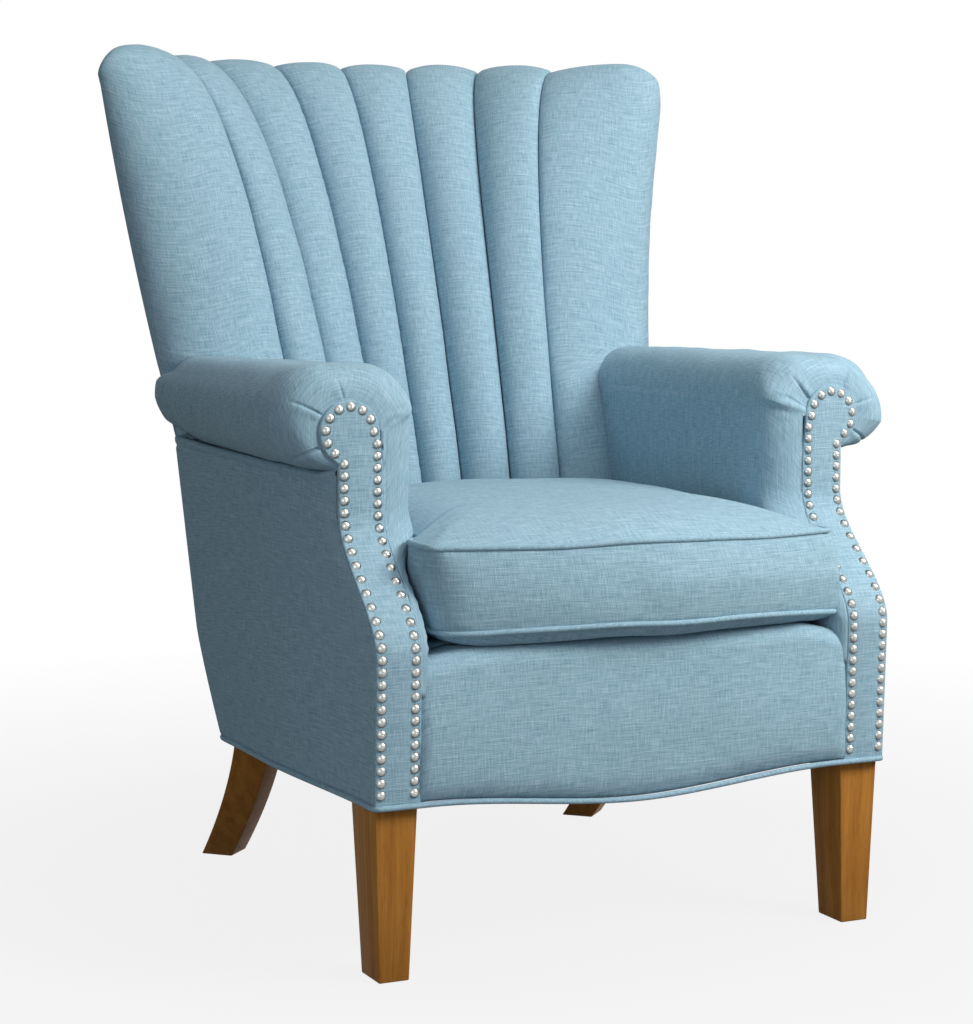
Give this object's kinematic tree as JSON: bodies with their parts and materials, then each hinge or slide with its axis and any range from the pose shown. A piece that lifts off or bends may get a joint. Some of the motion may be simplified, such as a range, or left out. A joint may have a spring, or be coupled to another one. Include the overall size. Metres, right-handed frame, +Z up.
{
  "type": "occasional chair",
  "caption": "Upholstered occasional chair with a barrel back in upright channels, rolled arms with nailed serpentine facings, loose boxed cushion and wooden legs.",
  "frame": {"origin": "centre of the bounding box on the floor plane, under the feet", "axes": "+Z up, -Y towards the front of the chair, X across it, X = 0 is the plane of symmetry"},
  "size_m": [0.7892, 0.928, 1.0227],
  "materials": {
    "linen_fabric": "light blue linen weave with slubs",
    "outside_fabric": "light blue linen weave with slubs",
    "welt_fabric": "light blue linen over piping cord",
    "walnut_legs": "honey walnut stain, satin lacquer",
    "beech_frame": "planed, unfinished",
    "nail_heads": "satin nickel domes",
    "steel_parts": "zinc plated",
    "spring_wire": "oiled spring wire",
    "hidden_padding": "burlap over wadding",
    "dust_cover": "black cambric"
  },
  "bodies": {
    "chair": {"front_left_leg": "walnut_legs", "front_right_leg": "walnut_legs", "rear_left_leg": "walnut_legs", "rear_right_leg": "walnut_legs", "leg_bolts": "steel_parts", "left_arm_post": "beech_frame", "right_arm_post": "beech_frame", "left_arm_rail": "beech_frame", "right_arm_rail": "beech_frame", "left_arm_slat": "beech_frame", "right_arm_slat": "beech_frame", "left_back_post": "beech_frame", "right_back_post": "beech_frame", "front_rail": "beech_frame", "left_side_rail": "beech_frame", "right_side_rail": "beech_frame", "rear_rail": "beech_frame", "corner_blocks": "beech_frame", "back_slat": "beech_frame", "back_top_rail": "beech_frame", "left_wing_stile": "beech_frame", "right_wing_stile": "beech_frame", "seat_springs": "spring_wire", "spring_clips": "steel_parts", "deck_pad": "hidden_padding", "dust_cover": "dust_cover", "back_liner": "hidden_padding", "back_channel_1": "linen_fabric", "back_channel_2": "linen_fabric", "back_channel_3": "linen_fabric", "back_channel_4": "linen_fabric", "back_channel_5": "linen_fabric", "back_channel_6": "linen_fabric", "left_wing_pad": "linen_fabric", "right_wing_pad": "linen_fabric", "left_arm_pad": "linen_fabric", "right_arm_pad": "linen_fabric", "left_outside_arm": "outside_fabric", "right_outside_arm": "outside_fabric", "outside_back": "outside_fabric", "left_arm_facing": "linen_fabric", "right_arm_facing": "linen_fabric", "left_facing_nails": "nail_heads", "right_facing_nails": "nail_heads", "front_border": "linen_fabric", "bottom_welt": "welt_fabric"},
    "cushion": {"seat_cushion": "linen_fabric", "cushion_top_welt": "welt_fabric", "cushion_bottom_welt": "welt_fabric"}
  },
  "joints": [
    {"name": "cushion_lift", "type": "slide", "parent": "chair", "child": "cushion", "axis": [0, 0, 1], "range_m": [0, 0.3]}
  ]
}
